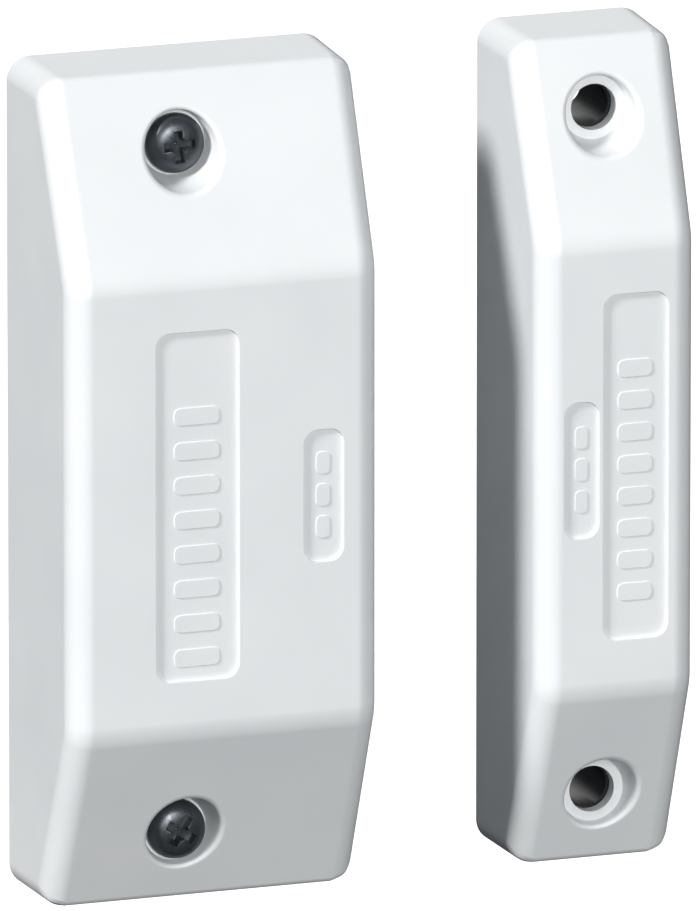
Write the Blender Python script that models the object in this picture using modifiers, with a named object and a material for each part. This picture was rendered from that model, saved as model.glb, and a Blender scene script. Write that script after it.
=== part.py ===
# Surface-mounted magnetic door contact: a wide switch unit and, beside it, a narrow magnet unit.
#
# World axes: +X to the right, -Y out of the wall towards the viewer, +Z up along the housings.
# The wall is the plane y = 0. The origin is the centre of the switch unit's back.
# "Height" (h) below is the distance from the wall, so y = -h.

import math

import bmesh
import bpy
from mathutils import Matrix

mm = 0.001

# ---- driving dimensions ----
LENGTH = 70 * mm                 # both housings
SWITCH_WIDTH = 27.4 * mm
SWITCH_HEIGHT = 15.2 * mm
MAGNET_WIDTH = 14.4 * mm
MAGNET_HEIGHT = 14.6 * mm
END_HEIGHT = 8.0 * mm            # height at the two ends, where the ramps start
RAMP = 16.0 * mm                 # length of each ramp
GAP = 13.2 * mm                  # between the two units, door shut
WALL = 1.6 * mm
SIDE_DRAFT = math.radians(1.5)
END_DRAFT = math.radians(0.8)
EDGE_RADIUS = 2.0 * mm           # corners and long edges
END_EDGE_WEIGHT = 0.28           # share of that width on the short front edges
CREASE_RADIUS = 4.5 * mm         # where a ramp meets the flat middle
CLEARANCE = 0.3 * mm

MAGNET_X = SWITCH_WIDTH / 2 + GAP + MAGNET_WIDTH / 2

# Screw wells: both at the same distance from the ends
WELL_X = -2.2 * mm               # off centre in the switch unit
WELL_Z = LENGTH / 2 - 6.1 * mm
WELL_RADIUS = 2.7 * mm           # at the floor
WELL_FLARE = 0.2                 # growth of the radius per unit of height
WELL_FLOOR = 8.2 * mm            # height of the face that the screw head sits on
WELL_BOTTOM = 7.0 * mm           # underside of that floor
WELL_SKIRT = 4.2 * mm            # outer radius of the well's wall
SCREW_HOLE_RADIUS = 1.95 * mm
WEB_THICKNESS = 1.4 * mm         # rib from each well to the end wall

# Label panels: width range from the unit's left edge, and length about the middle
PANEL_DEPTH = 0.3 * mm
PANEL_RADIUS = 1.2 * mm
SWITCH_PANELS = [("large", 7.7 * mm, 14.8 * mm, 29.3 * mm), ("small", 20.4 * mm, 23.8 * mm, 11.1 * mm)]
MAGNET_PANELS = [("large", 5.9 * mm, 11.5 * mm, 29.2 * mm), ("small", 2.5 * mm, 5.5 * mm, 11.5 * mm)]

BASE_THICKNESS = 2.0 * mm
BASE_FIT = 0.3 * mm              # base to cover, all round
BASE_BOSS_RADIUS = 3.0 * mm
BASE_BOSS_TOP = WELL_BOTTOM - CLEARANCE

HEAD_RADIUS = 2.5 * mm
HEAD_HEIGHT = 1.7 * mm
SCREW_RADIUS = 1.3 * mm
CORE_RADIUS = 0.95 * mm
THREAD_PITCH = 0.85 * mm
SCREW_TIP = 2.8 * mm
SCREW_SEAT = WELL_FLOOR + 0.05 * mm

BOARD_BOTTOM = 3.4 * mm
BOARD_TOP = 4.6 * mm
BOARD_X = 10.8 * mm              # half width
BOARD_LOW, BOARD_HIGH = -18.4 * mm, 21.0 * mm
POST_RADIUS, PEG_RADIUS = 1.7 * mm, 0.8 * mm
POSTS = [(-9.3 * mm, 18.6 * mm), (9.3 * mm, 18.6 * mm), (-9.3 * mm, -6.4 * mm), (4.0 * mm, -6.4 * mm)]

# Terminal block with rising cages
WAYS = 4
PITCH = 5.0 * mm
BLOCK_X = 10.2 * mm              # half width
BLOCK_FRONT, BLOCK_REAR = -18.0 * mm, -9.4 * mm
BLOCK_BOTTOM, BLOCK_TOP = 4.75 * mm, 12.4 * mm
TERMINAL_SCREW_Z = -14.2 * mm
PLATE_BOTTOM, PLATE_TOP = 7.7 * mm, 8.3 * mm
PIN_Z = -10.8 * mm
CAGE_BOTTOM, CAGE_TOP = 6.9 * mm, 10.9 * mm
CAGE_X, CAGE_Z = 1.5 * mm, 1.6 * mm         # half width and half depth
CHAMBER_BOTTOM = 5.4 * mm        # the cage drops this far when the terminal is open
SHAFT_RADIUS = 1.85 * mm
CLAMP_HEAD_RADIUS = 1.65 * mm
CLAMP_SHANK_RADIUS = 0.9 * mm

# Reed switch, close to the edge that faces the magnet
REED_X = 8.8 * mm
REED_HEIGHT = 7.2 * mm
REED_LOW, REED_HIGH = -5.0 * mm, 10.0 * mm
REED_MIDDLE = (REED_LOW + REED_HIGH) / 2
GLASS_RADIUS = 1.15 * mm
LEAD_RADIUS = 0.3 * mm
LEAD_OVERHANG = 2.4 * mm         # from the glass to the bend

# Tamper switch
TAMPER_X, TAMPER_Z = -4.6 * mm, 9.5 * mm
TAMPER_TOP = 8.3 * mm
PLUNGER_TIP = 12.55 * mm
PLUNGER_STEM, PLUNGER_CAP = 1.2 * mm, 2.6 * mm
CAP_THICKNESS = 1.0 * mm

# Bar magnet and its cradle
BAR_X, BAR_Z = 4.0 * mm, 16.0 * mm          # half width and half length
BAR_BOTTOM, BAR_TOP = 3.5 * mm, 9.5 * mm

ROUND = 28                       # sides of the visible round features
SMALL_ROUND = 14


# ---- scene, collections and materials ----

for leftover in list(bpy.data.objects):
    bpy.data.objects.remove(leftover, do_unlink=True)

parts = bpy.data.collections.new("door_contact_sensor")
cutters = bpy.data.collections.new("cutters")
bpy.context.scene.collection.children.link(parts)
bpy.context.scene.collection.children.link(cutters)


def make_material(name, colour, roughness, metallic=0.0):
    material = bpy.data.materials.new(name)
    material.use_nodes = True
    shader = material.node_tree.nodes["Principled BSDF"]
    shader.inputs["Base Color"].default_value = (*colour, 1.0)
    shader.inputs["Roughness"].default_value = roughness
    shader.inputs["Metallic"].default_value = metallic
    material.diffuse_color = (*colour, 1.0)
    return material


WHITE_ABS = (0.80, 0.82, 0.82)
BLACK_ABS = (0.012, 0.012, 0.014)
BLACK_STEEL = (0.03, 0.03, 0.035)
BRIGHT_STEEL = (0.55, 0.55, 0.56)


def place(obj, collection, name):
    obj.name = name
    obj.data.name = name
    for owner in list(obj.users_collection):
        owner.objects.unlink(obj)
    collection.objects.link(obj)
    if collection is cutters:
        obj.hide_render = True
        obj.display_type = "WIRE"
    return obj


def finish(obj, colour, roughness, metallic=0.0, smooth=True):
    obj.data.materials.clear()
    obj.data.materials.append(make_material(obj.name, colour, roughness, metallic))
    if smooth:
        obj.data.shade_smooth()
        obj.data.set_sharp_from_angle(angle=math.radians(35))
    return obj


# ---- basic shapes ----

def block(name, x_range, h_range, z_range, collection=cutters):
    """A box between two x, two heights and two z."""
    size = (x_range[1] - x_range[0], h_range[1] - h_range[0], z_range[1] - z_range[0])
    centre = (sum(x_range) / 2, -sum(h_range) / 2, sum(z_range) / 2)
    bpy.ops.mesh.primitive_cube_add(size=1, location=centre)
    obj = bpy.context.object
    obj.data.transform(Matrix.Diagonal((*size, 1)))
    return place(obj, collection, name)


def rod(name, radius, x, z, h_range, sides=ROUND, collection=cutters, top_radius=None):
    """A round bar that stands out from the wall, straight or flared."""
    bpy.ops.mesh.primitive_cone_add(
        vertices=sides, radius1=radius, radius2=top_radius or radius, depth=h_range[1] - h_range[0],
        location=(x, -sum(h_range) / 2, z), rotation=(math.pi / 2, 0, 0))
    return place(bpy.context.object, collection, name)


def round_uprights(obj, radius, segments):
    """Rounds the edges that stand out from the wall."""
    shape = bmesh.new()
    shape.from_mesh(obj.data)
    upright = [e for e in shape.edges if abs(e.verts[0].co.y - e.verts[1].co.y) > 0.5 * mm]
    bmesh.ops.bevel(shape, geom=upright, offset=radius, segments=segments, profile=0.5, affect="EDGES")
    shape.to_mesh(obj.data)
    shape.free()


def turned(name, profile, x, z, sides=ROUND, collection=parts, closed=False):
    """Turns a list of (radius, height) about an axis that stands out from the wall."""
    mesh = bpy.data.meshes.new(name)
    count = len(profile)
    edges = [(i, (i + 1) % count) for i in range(count if closed else count - 1)]
    mesh.from_pydata([(radius, 0, height) for radius, height in profile], edges, [])
    obj = bpy.data.objects.new(name, mesh)
    obj.location = (x, 0, z)
    obj.rotation_euler = (math.pi / 2, 0, 0)
    screw = obj.modifiers.new("Turn", "SCREW")
    screw.steps = sides
    screw.render_steps = sides
    screw.use_merge_vertices = True
    screw.merge_threshold = 1e-6
    collection.objects.link(obj)
    if collection is cutters:
        obj.hide_render = True
        obj.display_type = "WIRE"
    return obj


def mesh_from_curve(name, curve, matrix, collection):
    """Makes a curve a mesh, welds its caps and joins the flat pieces of each face."""
    source = bpy.data.objects.new(name + "_curve", curve)
    bpy.context.scene.collection.objects.link(source)
    graph = bpy.context.evaluated_depsgraph_get()
    mesh = bpy.data.meshes.new_from_object(source.evaluated_get(graph))
    bpy.data.objects.remove(source, do_unlink=True)
    shape = bmesh.new()
    shape.from_mesh(mesh)
    bmesh.ops.remove_doubles(shape, verts=shape.verts, dist=1e-6)
    bmesh.ops.dissolve_limit(shape, angle_limit=math.radians(0.5), verts=shape.verts, edges=shape.edges)
    bmesh.ops.transform(shape, matrix=matrix, verts=shape.verts)
    bmesh.ops.recalc_face_normals(shape, faces=shape.faces)
    shape.to_mesh(mesh)
    shape.free()
    obj = bpy.data.objects.new(name, mesh)
    collection.objects.link(obj)
    return place(obj, collection, name)


def prism(name, outline, half_thickness, matrix, collection):
    """A flat outline pushed out both ways along its own Z."""
    curve = bpy.data.curves.new(name, "CURVE")
    curve.dimensions = "2D"
    curve.fill_mode = "BOTH"
    curve.extrude = half_thickness
    spline = curve.splines.new("POLY")
    spline.points.add(len(outline) - 1)
    for point, (along, across) in zip(spline.points, outline):
        point.co = (along, across, 0, 1)
    spline.use_cyclic_u = True
    return mesh_from_curve(name, curve, matrix, collection)


def wire(name, route, radius, collection=parts, resolution=2):
    """A round wire through world points, with closed ends."""
    curve = bpy.data.curves.new(name, "CURVE")
    curve.dimensions = "3D"
    curve.bevel_depth = radius
    curve.bevel_resolution = resolution
    curve.use_fill_caps = True
    spline = curve.splines.new("POLY")
    spline.points.add(len(route) - 1)
    for point, position in zip(spline.points, route):
        point.co = (*position, 1)
    obj = bpy.data.objects.new(name, curve)
    collection.objects.link(obj)
    return obj


def boolean(target, tool, operation="DIFFERENCE"):
    modifier = target.modifiers.new(tool.name, "BOOLEAN")
    modifier.operation = operation
    modifier.object = tool
    modifier.solver = "EXACT"
    return target


def arc(centre, radius, start, end, steps):
    """Points on an arc, angles in degrees."""
    points = []
    for i in range(steps + 1):
        angle = math.radians(start + (end - start) * i / steps)
        points.append((centre[0] + radius * math.cos(angle), centre[1] + radius * math.sin(angle)))
    return points


# ---- the housing's shape ----

# Outlines are drawn as (z, h). This turns them to the world, pushed out along X.
SIDE_VIEW = Matrix(((0, 0, 1, 0), (0, -1, 0, 0), (1, 0, 0, 0), (0, 0, 0, 1)))


def ramp_slope(height):
    return (height - END_HEIGHT) / RAMP


def side_outline(height, inset, back):
    """Half by half: flat middle, a rounded crease, a ramp and a slightly drafted end."""
    slope = ramp_slope(height)
    tilt = math.atan(slope)
    top = height - inset
    end = LENGTH / 2 - inset
    drop = inset / math.cos(tilt)            # how far the inset ramp lies under the outer one
    end_top = END_HEIGHT + slope * inset - drop
    crease = end - (top - end_top) / slope   # z where ramp and middle would meet
    radius = CREASE_RADIUS - inset
    reach = radius * math.tan(tilt / 2)
    centre = (crease - reach, top - radius)
    right = arc(centre, radius, 90, 90 - math.degrees(tilt), 4)
    right.append((end - end_top * math.tan(END_DRAFT), end_top))
    right.append((end - back * math.tan(END_DRAFT), back))
    left = [(-z, h) for z, h in reversed(right)]
    return right + left


def housing(name, width, height, inset, back, edge_width, end_weight, segments, collection):
    """The rounded block of one housing, or of the space inside it when inset is the wall."""
    half = width / 2 - inset
    obj = prism(name, side_outline(height, inset, back), half, SIDE_VIEW, collection)
    mesh = obj.data
    for vertex in mesh.vertices:             # draft on the two long sides
        side = 1 if vertex.co.x > 0 else -1
        vertex.co.x -= side * math.tan(SIDE_DRAFT) * -vertex.co.y
    shape = bmesh.new()
    shape.from_mesh(mesh)
    weight = shape.edges.layers.float.new("bevel_weight_edge")
    for edge in shape.edges:
        normals = [face.normal for face in edge.link_faces]
        if any(normal.y > 0.9 for normal in normals):
            continue                         # the rim stays sharp
        if any(abs(normal.x) > 0.9 for normal in normals):
            edge[weight] = 1.0
        elif any(abs(normal.z) > 0.9 for normal in normals):
            edge[weight] = end_weight
    shape.to_mesh(mesh)
    shape.free()
    bevel = obj.modifiers.new("Rounding", "BEVEL")
    bevel.limit_method = "WEIGHT"
    bevel.width = edge_width
    bevel.segments = segments
    return obj


def label_panels(cover, left, front, panels):
    """Shallow round-cornered recesses in the cover's flat middle."""
    for tag, start, end, length in panels:
        x_range = (left + start, left + end)
        h_range = (front - PANEL_DEPTH, front + 1 * mm)
        panel = block(f"{cover.name}_panel_{tag}", x_range, h_range, (-length / 2, length / 2))
        round_uprights(panel, PANEL_RADIUS, 4)
        boolean(cover, panel)


def housing_cover(name, centre_x, width, height, well_x):
    """Hollow cover with two screw wells; well_x is from the unit's own centre."""
    cover = housing(name, width, height, 0, 0, EDGE_RADIUS, END_EDGE_WEIGHT, 4, parts)
    space = housing(name + "_space", width, height, WALL, -1 * mm, 0.7 * mm, 0, 2, cutters)
    cover.data.transform(Matrix.Translation((centre_x, 0, 0)))
    space.data.transform(Matrix.Translation((centre_x, 0, 0)))
    x = centre_x + well_x
    for side, z in (("upper", WELL_Z), ("lower", -WELL_Z)):
        outwards = 1 if z > 0 else -1
        tag = name + "_" + side
        skirt = rod(tag + "_skirt", WELL_SKIRT, x, z, (WELL_BOTTOM, height))
        boolean(space, skirt)
        web_ends = sorted((z + outwards * (WELL_SKIRT - 0.6 * mm), outwards * (LENGTH / 2 + 1 * mm)))
        half_web = WEB_THICKNESS / 2
        web = block(tag + "_web", (x - half_web, x + half_web), (WELL_BOTTOM, height), web_ends)
        boolean(space, web)
    boolean(cover, space)
    for side, z in (("upper", WELL_Z), ("lower", -WELL_Z)):
        tag = name + "_" + side
        well_range = (WELL_FLOOR, height + 2 * mm)
        mouth_radius = WELL_RADIUS + WELL_FLARE * (well_range[1] - well_range[0])
        well = rod(tag + "_well", WELL_RADIUS, x, z, well_range, top_radius=mouth_radius)
        boolean(cover, well)
        hole_range = (WELL_BOTTOM - 1 * mm, WELL_FLOOR + 1 * mm)
        hole = rod(tag + "_hole", SCREW_HOLE_RADIUS, x, z, hole_range)
        boolean(cover, hole)
    return cover


# ---- switch unit: cover, screws and base ----

def make_switch_cover():
    cover = housing_cover("switch_cover", 0, SWITCH_WIDTH, SWITCH_HEIGHT, WELL_X)
    label_panels(cover, -SWITCH_WIDTH / 2, SWITCH_HEIGHT, SWITCH_PANELS)
    # a post inside the cover holds the tamper plunger down
    post = rod("tamper_post", 1.6 * mm, TAMPER_X, TAMPER_Z,
               (PLUNGER_TIP + 0.1 * mm, SWITCH_HEIGHT - 0.8 * mm), SMALL_ROUND)
    boolean(cover, post, "UNION")
    finish(cover, WHITE_ABS, 0.42)


def cross_outline(arm, half_width):
    quarter = [(arm, -half_width), (arm, half_width), (half_width, half_width)]
    points = []
    for turn in range(4):
        angle = math.radians(90 * turn)
        for x, y in quarter:
            points.append((x * math.cos(angle) - y * math.sin(angle),
                           x * math.sin(angle) + y * math.cos(angle)))
    return points


def recess(name, x, z, h_range, arm, half_width, turn):
    """A cross-shaped cutter for a screwdriver, standing out from the wall."""
    middle = sum(h_range) / 2
    upright = Matrix.Rotation(math.pi / 2, 4, "X") @ Matrix.Rotation(math.radians(turn), 4, "Z")
    matrix = Matrix.Translation((x, -middle, z)) @ upright
    return prism(name, cross_outline(arm, half_width), (h_range[1] - h_range[0]) / 2, matrix, cutters)


def make_cover_screw(name, z, turn):
    """Pan-head thread-forming screw: domed head, ringed shank and a blunt point."""
    top = SCREW_SEAT + HEAD_HEIGHT
    profile = [(0, top)]
    profile += [(1.3 * mm, top - 0.08 * mm), (2.0 * mm, top - 0.4 * mm), (2.4 * mm, top - 0.85 * mm)]
    profile += [(HEAD_RADIUS, top - 1.3 * mm), (HEAD_RADIUS, SCREW_SEAT), (CORE_RADIUS, SCREW_SEAT)]
    rings = 4
    start = SCREW_SEAT - 0.5 * mm
    for ring in range(rings):
        h = start - ring * THREAD_PITCH
        crest = (SCREW_RADIUS, h - 0.35 * THREAD_PITCH)
        profile += [(CORE_RADIUS, h), crest, (CORE_RADIUS, h - 0.7 * THREAD_PITCH)]
    profile += [(0.7 * mm, SCREW_TIP + 0.5 * mm), (0, SCREW_TIP)]
    screw = turned(name, profile, WELL_X, z, 20)
    drive_range = (top - 1.1 * mm, top + 0.5 * mm)
    drive = recess(name + "_recess", WELL_X, z, drive_range, 1.35 * mm, 0.33 * mm, turn)
    boolean(screw, drive)
    finish(screw, BLACK_STEEL, 0.3, 1.0)


def make_base(name, centre_x, width, boss_x, hole_radius, hole_floor):
    """Plate that closes the housing's back, with the two screw bosses."""
    half_x = width / 2 - WALL - BASE_FIT
    half_z = LENGTH / 2 - WALL - BASE_FIT
    x_range = (centre_x - half_x, centre_x + half_x)
    plate = block(name, x_range, (0, BASE_THICKNESS), (-half_z, half_z), parts)
    round_uprights(plate, 0.9 * mm, 3)
    for side, z in (("upper", WELL_Z), ("lower", -WELL_Z)):
        x = centre_x + boss_x
        boss = rod(name + "_boss_" + side, BASE_BOSS_RADIUS, x, z, (BASE_THICKNESS / 2, BASE_BOSS_TOP), 22)
        boolean(plate, boss, "UNION")
        hole = rod(name + "_hole_" + side, hole_radius, x, z, (hole_floor, BASE_BOSS_TOP + 1 * mm), 18)
        boolean(plate, hole)
    return plate


def make_switch_base():
    base = make_base("switch_base", 0, SWITCH_WIDTH, WELL_X, SCREW_RADIUS + 0.15 * mm, 1.0 * mm)
    inner = SWITCH_WIDTH / 2 - WALL - BASE_FIT
    for tag, side in (("left", -1), ("right", 1)):
        x_range = sorted((side * inner, side * (inner - 1.0 * mm)))
        rib = block("locating_rib_" + tag, x_range, (BASE_THICKNESS / 2, 3.2 * mm), (-15 * mm, 24 * mm))
        boolean(base, rib, "UNION")
    for number, (x, z) in enumerate(POSTS, 1):
        post = rod(f"board_post_{number}", POST_RADIUS, x, z,
                   (BASE_THICKNESS / 2, BOARD_BOTTOM - 0.1 * mm), SMALL_ROUND)
        boolean(base, post, "UNION")
        peg = rod(f"board_peg_{number}", PEG_RADIUS, x, z,
                  (BASE_THICKNESS / 2, BOARD_TOP + 0.6 * mm), SMALL_ROUND)
        boolean(base, peg, "UNION")
    cable_entry = block("cable_entry", (-11.1 * mm, -5.9 * mm), (-1 * mm, 4 * mm), (-27 * mm, -19.4 * mm))
    boolean(base, cable_entry)
    for tag, z in (("upper", 26.6 * mm), ("lower", -23.4 * mm)):
        z_range = (z - 2.6 * mm, z + 2.6 * mm)
        slot = block("wall_slot_" + tag, (5.6 * mm, 9.2 * mm), (-1 * mm, 4 * mm), z_range)
        boolean(base, slot)
    finish(base, BLACK_ABS, 0.5)


# ---- circuit board, terminals, reed and tamper switch ----

def way_x(way):
    return (way - (WAYS - 1) / 2) * PITCH


def make_board():
    thickness = (BOARD_BOTTOM, BOARD_TOP)
    board = block("circuit_board", (-BOARD_X, BOARD_X), thickness, (BOARD_LOW, BOARD_HIGH), parts)
    drill = (BOARD_BOTTOM - 0.5 * mm, BOARD_TOP + 0.5 * mm)
    for number, (x, z) in enumerate(POSTS, 1):
        boolean(board, rod(f"peg_drilling_{number}", PEG_RADIUS + 0.15 * mm, x, z, drill, SMALL_ROUND))
    for way in range(WAYS):
        boolean(board, rod(f"pin_drilling_{way + 1}", 0.65 * mm, way_x(way), PIN_Z, drill, 10))
    for tag, z in (("upper", REED_HIGH + LEAD_OVERHANG), ("lower", REED_LOW - LEAD_OVERHANG)):
        boolean(board, rod("lead_drilling_" + tag, LEAD_RADIUS + 0.15 * mm, REED_X, z, drill, 10))
    finish(board, (0.02, 0.12, 0.05), 0.45)


def make_terminal_block():
    h_range = (BLOCK_BOTTOM, BLOCK_TOP)
    body = block("terminal_block", (-BLOCK_X, BLOCK_X), h_range, (BLOCK_FRONT, BLOCK_REAR), parts)
    bevel = body.modifiers.new("Rounding", "BEVEL")
    bevel.width = 0.25 * mm
    bevel.segments = 1
    for way in range(WAYS):
        x = way_x(way)
        chamber = block(f"chamber_{way + 1}", (x - 1.7 * mm, x + 1.7 * mm),
                        (CHAMBER_BOTTOM, CAGE_TOP + 0.2 * mm), (BLOCK_FRONT - 1 * mm, -11.9 * mm))
        boolean(body, chamber)
        shaft = rod(f"screw_shaft_{way + 1}", SHAFT_RADIUS, x, TERMINAL_SCREW_Z,
                    (CAGE_TOP - 1 * mm, BLOCK_TOP + 1 * mm), 20)
        boolean(body, shaft)
        leg_slot = block(f"leg_slot_{way + 1}", (x - 1.0 * mm, x + 1.0 * mm),
                         (BLOCK_BOTTOM - 1 * mm, PLATE_TOP + 0.3 * mm), (-12.4 * mm, -10.3 * mm))
        boolean(body, leg_slot)
    finish(body, (0.02, 0.10, 0.22), 0.4)


def make_terminal(way):
    x = way_x(way)
    number = way + 1

    top = BLOCK_TOP - 0.15 * mm
    seat = CAGE_TOP + 0.3 * mm
    tip = PLATE_TOP + 0.06 * mm
    head, shank = CLAMP_HEAD_RADIUS, CLAMP_SHANK_RADIUS
    profile = [(0, top), (head - 0.25 * mm, top), (head, top - 0.2 * mm), (head, seat), (shank, seat)]
    profile += [(shank, tip + 0.19 * mm), (shank - 0.2 * mm, tip), (0, tip)]
    screw = turned(f"terminal_screw_{number}", profile, x, TERMINAL_SCREW_Z, SMALL_ROUND)
    drive = recess(f"terminal_recess_{number}", x, TERMINAL_SCREW_Z,
                   (top - 0.6 * mm, top + 0.5 * mm), 1.05 * mm, 0.22 * mm, 20 + 50 * way)
    boolean(screw, drive)
    finish(screw, BRIGHT_STEEL, 0.3, 1.0)

    # the cage is a square frame around the contact plate; the wire goes in under the plate
    z_range = (TERMINAL_SCREW_Z - CAGE_Z, TERMINAL_SCREW_Z + CAGE_Z)
    x_range = (x - CAGE_X, x + CAGE_X)
    cage = block(f"clamp_cage_{number}", x_range, (CAGE_BOTTOM, CAGE_TOP), z_range, parts)
    opening = (CAGE_BOTTOM + 0.6 * mm, CAGE_TOP - 0.7 * mm)
    window = block(f"cage_window_{number}", (x - 1.0 * mm, x + 1.0 * mm), opening,
                   (z_range[0] - 1 * mm, z_range[1] + 1 * mm))
    boolean(cage, window)
    boolean(cage, rod(f"cage_thread_{number}", 1.0 * mm, x, TERMINAL_SCREW_Z,
                      (CAGE_TOP - 1.2 * mm, CAGE_TOP + 0.5 * mm), SMALL_ROUND))
    finish(cage, BRIGHT_STEEL, 0.35, 1.0, smooth=False)

    plate = block(f"terminal_plate_{number}", (x - 0.85 * mm, x + 0.85 * mm), (PLATE_BOTTOM, PLATE_TOP),
                  (-16.8 * mm, PIN_Z + 0.3 * mm), parts)
    leg = block(f"plate_leg_{number}", (x - 0.85 * mm, x + 0.85 * mm), (5.1 * mm, PLATE_BOTTOM + 0.2 * mm),
                (PIN_Z - 0.3 * mm, PIN_Z + 0.3 * mm))
    pin = block(f"plate_pin_{number}", (x - 0.35 * mm, x + 0.35 * mm), (2.7 * mm, 5.4 * mm),
                (PIN_Z - 0.3 * mm, PIN_Z + 0.3 * mm))
    boolean(plate, leg, "UNION")
    boolean(plate, pin, "UNION")
    finish(plate, (0.62, 0.45, 0.22), 0.35, 1.0, smooth=False)


def make_reed():
    # glass sleeve drawn in along its own axis, open round the leads
    outer = GLASS_RADIUS
    inner = 0.8 * mm
    mouth = LEAD_RADIUS + 0.08 * mm
    half = (REED_HIGH - REED_LOW) / 2
    outside = [(mouth, half), (0.7 * mm, half - 0.1 * mm)]
    outside += [(1.05 * mm, half - 0.6 * mm), (outer, half - 1.2 * mm)]
    inside = [(mouth, half - 1.5 * mm), (inner, half - 2.0 * mm)]
    profile = outside + [(r, -h) for r, h in reversed(outside)]
    profile += [(r, -h) for r, h in inside] + [(r, h) for r, h in reversed(inside)]
    glass = turned("reed_glass_tube", profile, REED_X, 0, 16, closed=True)
    glass.rotation_euler = (0, 0, 0)
    glass.location = (REED_X, -REED_HEIGHT, REED_MIDDLE)
    finish(glass, (0.55, 0.62, 0.58), 0.08)

    for tag, end, side in (("upper", REED_HIGH, 1), ("lower", REED_LOW, -1)):
        route = [(end - side * 1.9 * mm, REED_HEIGHT)]
        corner = 0.9 * mm
        bend_z = end + side * LEAD_OVERHANG
        for i in range(5):
            angle = math.radians(90 * i / 4)
            route.append((bend_z - side * corner * (1 - math.sin(angle)),
                          REED_HEIGHT - corner * (1 - math.cos(angle))))
        route.append((bend_z, 2.8 * mm))
        lead = wire("reed_lead_" + tag, [(REED_X, -h, z) for z, h in route], LEAD_RADIUS)
        finish(lead, BRIGHT_STEEL, 0.3, 1.0, smooth=False)

        # the blades lap at the middle, one each side of the axis
        overlap = 0.7 * mm
        root = end - side * 2.05 * mm
        tip = REED_MIDDLE - side * overlap
        offset = side * 0.1 * mm
        blade = block("reed_blade_" + tag, (REED_X - 0.45 * mm, REED_X + 0.45 * mm),
                      (REED_HEIGHT + offset - 0.08 * mm, REED_HEIGHT + offset + 0.08 * mm),
                      sorted((root, tip)), parts)
        finish(blade, BRIGHT_STEEL, 0.25, 1.0, smooth=False)


def make_tamper_switch():
    half = 3.1 * mm
    body = block("tamper_switch_body", (TAMPER_X - half, TAMPER_X + half),
                 (BOARD_TOP + 0.15 * mm, TAMPER_TOP), (TAMPER_Z - half, TAMPER_Z + half), parts)
    bevel = body.modifiers.new("Rounding", "BEVEL")
    bevel.width = 0.3 * mm
    bevel.segments = 2
    boolean(body, rod("plunger_bore", PLUNGER_STEM + 0.15 * mm, TAMPER_X, TAMPER_Z,
                      (5.4 * mm, TAMPER_TOP + 1 * mm), 20))
    finish(body, BLACK_ABS, 0.45)

    cap = PLUNGER_TIP - CAP_THICKNESS
    profile = [(0, PLUNGER_TIP), (1.9 * mm, PLUNGER_TIP), (PLUNGER_CAP, PLUNGER_TIP - 0.35 * mm)]
    profile += [(PLUNGER_CAP, cap), (PLUNGER_STEM, cap), (PLUNGER_STEM, 5.9 * mm)]
    profile += [(0.9 * mm, 5.6 * mm), (0, 5.6 * mm)]
    plunger = turned("tamper_plunger", profile, TAMPER_X, TAMPER_Z, 20)
    finish(plunger, (0.75, 0.72, 0.62), 0.4)

    turns = 4
    points_per_turn = 12
    wire_radius = 0.2 * mm
    low = TAMPER_TOP + wire_radius + 0.08 * mm
    high = cap - wire_radius - 0.08 * mm
    coil_radius = 1.75 * mm
    route = []
    for i in range(turns * points_per_turn + 1):
        share = i / (turns * points_per_turn)
        angle = 2 * math.pi * turns * share
        route.append((TAMPER_X + coil_radius * math.cos(angle), -(low + (high - low) * share),
                      TAMPER_Z + coil_radius * math.sin(angle)))
    spring = wire("tamper_spring", route, wire_radius, resolution=1)
    finish(spring, BRIGHT_STEEL, 0.25, 1.0, smooth=False)


# ---- magnet unit ----

def make_magnet_cover():
    cover = housing_cover("magnet_cover", MAGNET_X, MAGNET_WIDTH, MAGNET_HEIGHT, 0)
    label_panels(cover, MAGNET_X - MAGNET_WIDTH / 2, MAGNET_HEIGHT, MAGNET_PANELS)
    finish(cover, WHITE_ABS, 0.42)


def make_magnet_base():
    base = make_base("magnet_base", MAGNET_X, MAGNET_WIDTH, 0, SCREW_HOLE_RADIUS - 0.15 * mm, -1 * mm)
    wall = (BAR_X + 0.25 * mm, BAR_X + 1.05 * mm)
    for end, z_range in (("upper", (6 * mm, 15 * mm)), ("lower", (-15 * mm, -6 * mm))):
        for tag, side in (("left", -1), ("right", 1)):
            x_range = sorted((MAGNET_X + side * wall[0], MAGNET_X + side * wall[1]))
            cheek = block(f"cradle_{end}_{tag}", x_range, (BASE_THICKNESS / 2, 6.5 * mm), z_range)
            boolean(base, cheek, "UNION")
        pad = block(f"magnet_pad_{end}", (MAGNET_X - 3 * mm, MAGNET_X + 3 * mm),
                    (BASE_THICKNESS / 2, BAR_BOTTOM - 0.1 * mm), z_range)
        boolean(base, pad, "UNION")
    finish(base, BLACK_ABS, 0.5)


def make_bar_magnet():
    x_range = (MAGNET_X - BAR_X, MAGNET_X + BAR_X)
    bar = block("bar_magnet", x_range, (BAR_BOTTOM, BAR_TOP), (-BAR_Z, BAR_Z), parts)
    bevel = bar.modifiers.new("Rounding", "BEVEL")
    bevel.width = 0.4 * mm
    bevel.segments = 2
    finish(bar, (0.10, 0.10, 0.11), 0.55, 0.3)


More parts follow.
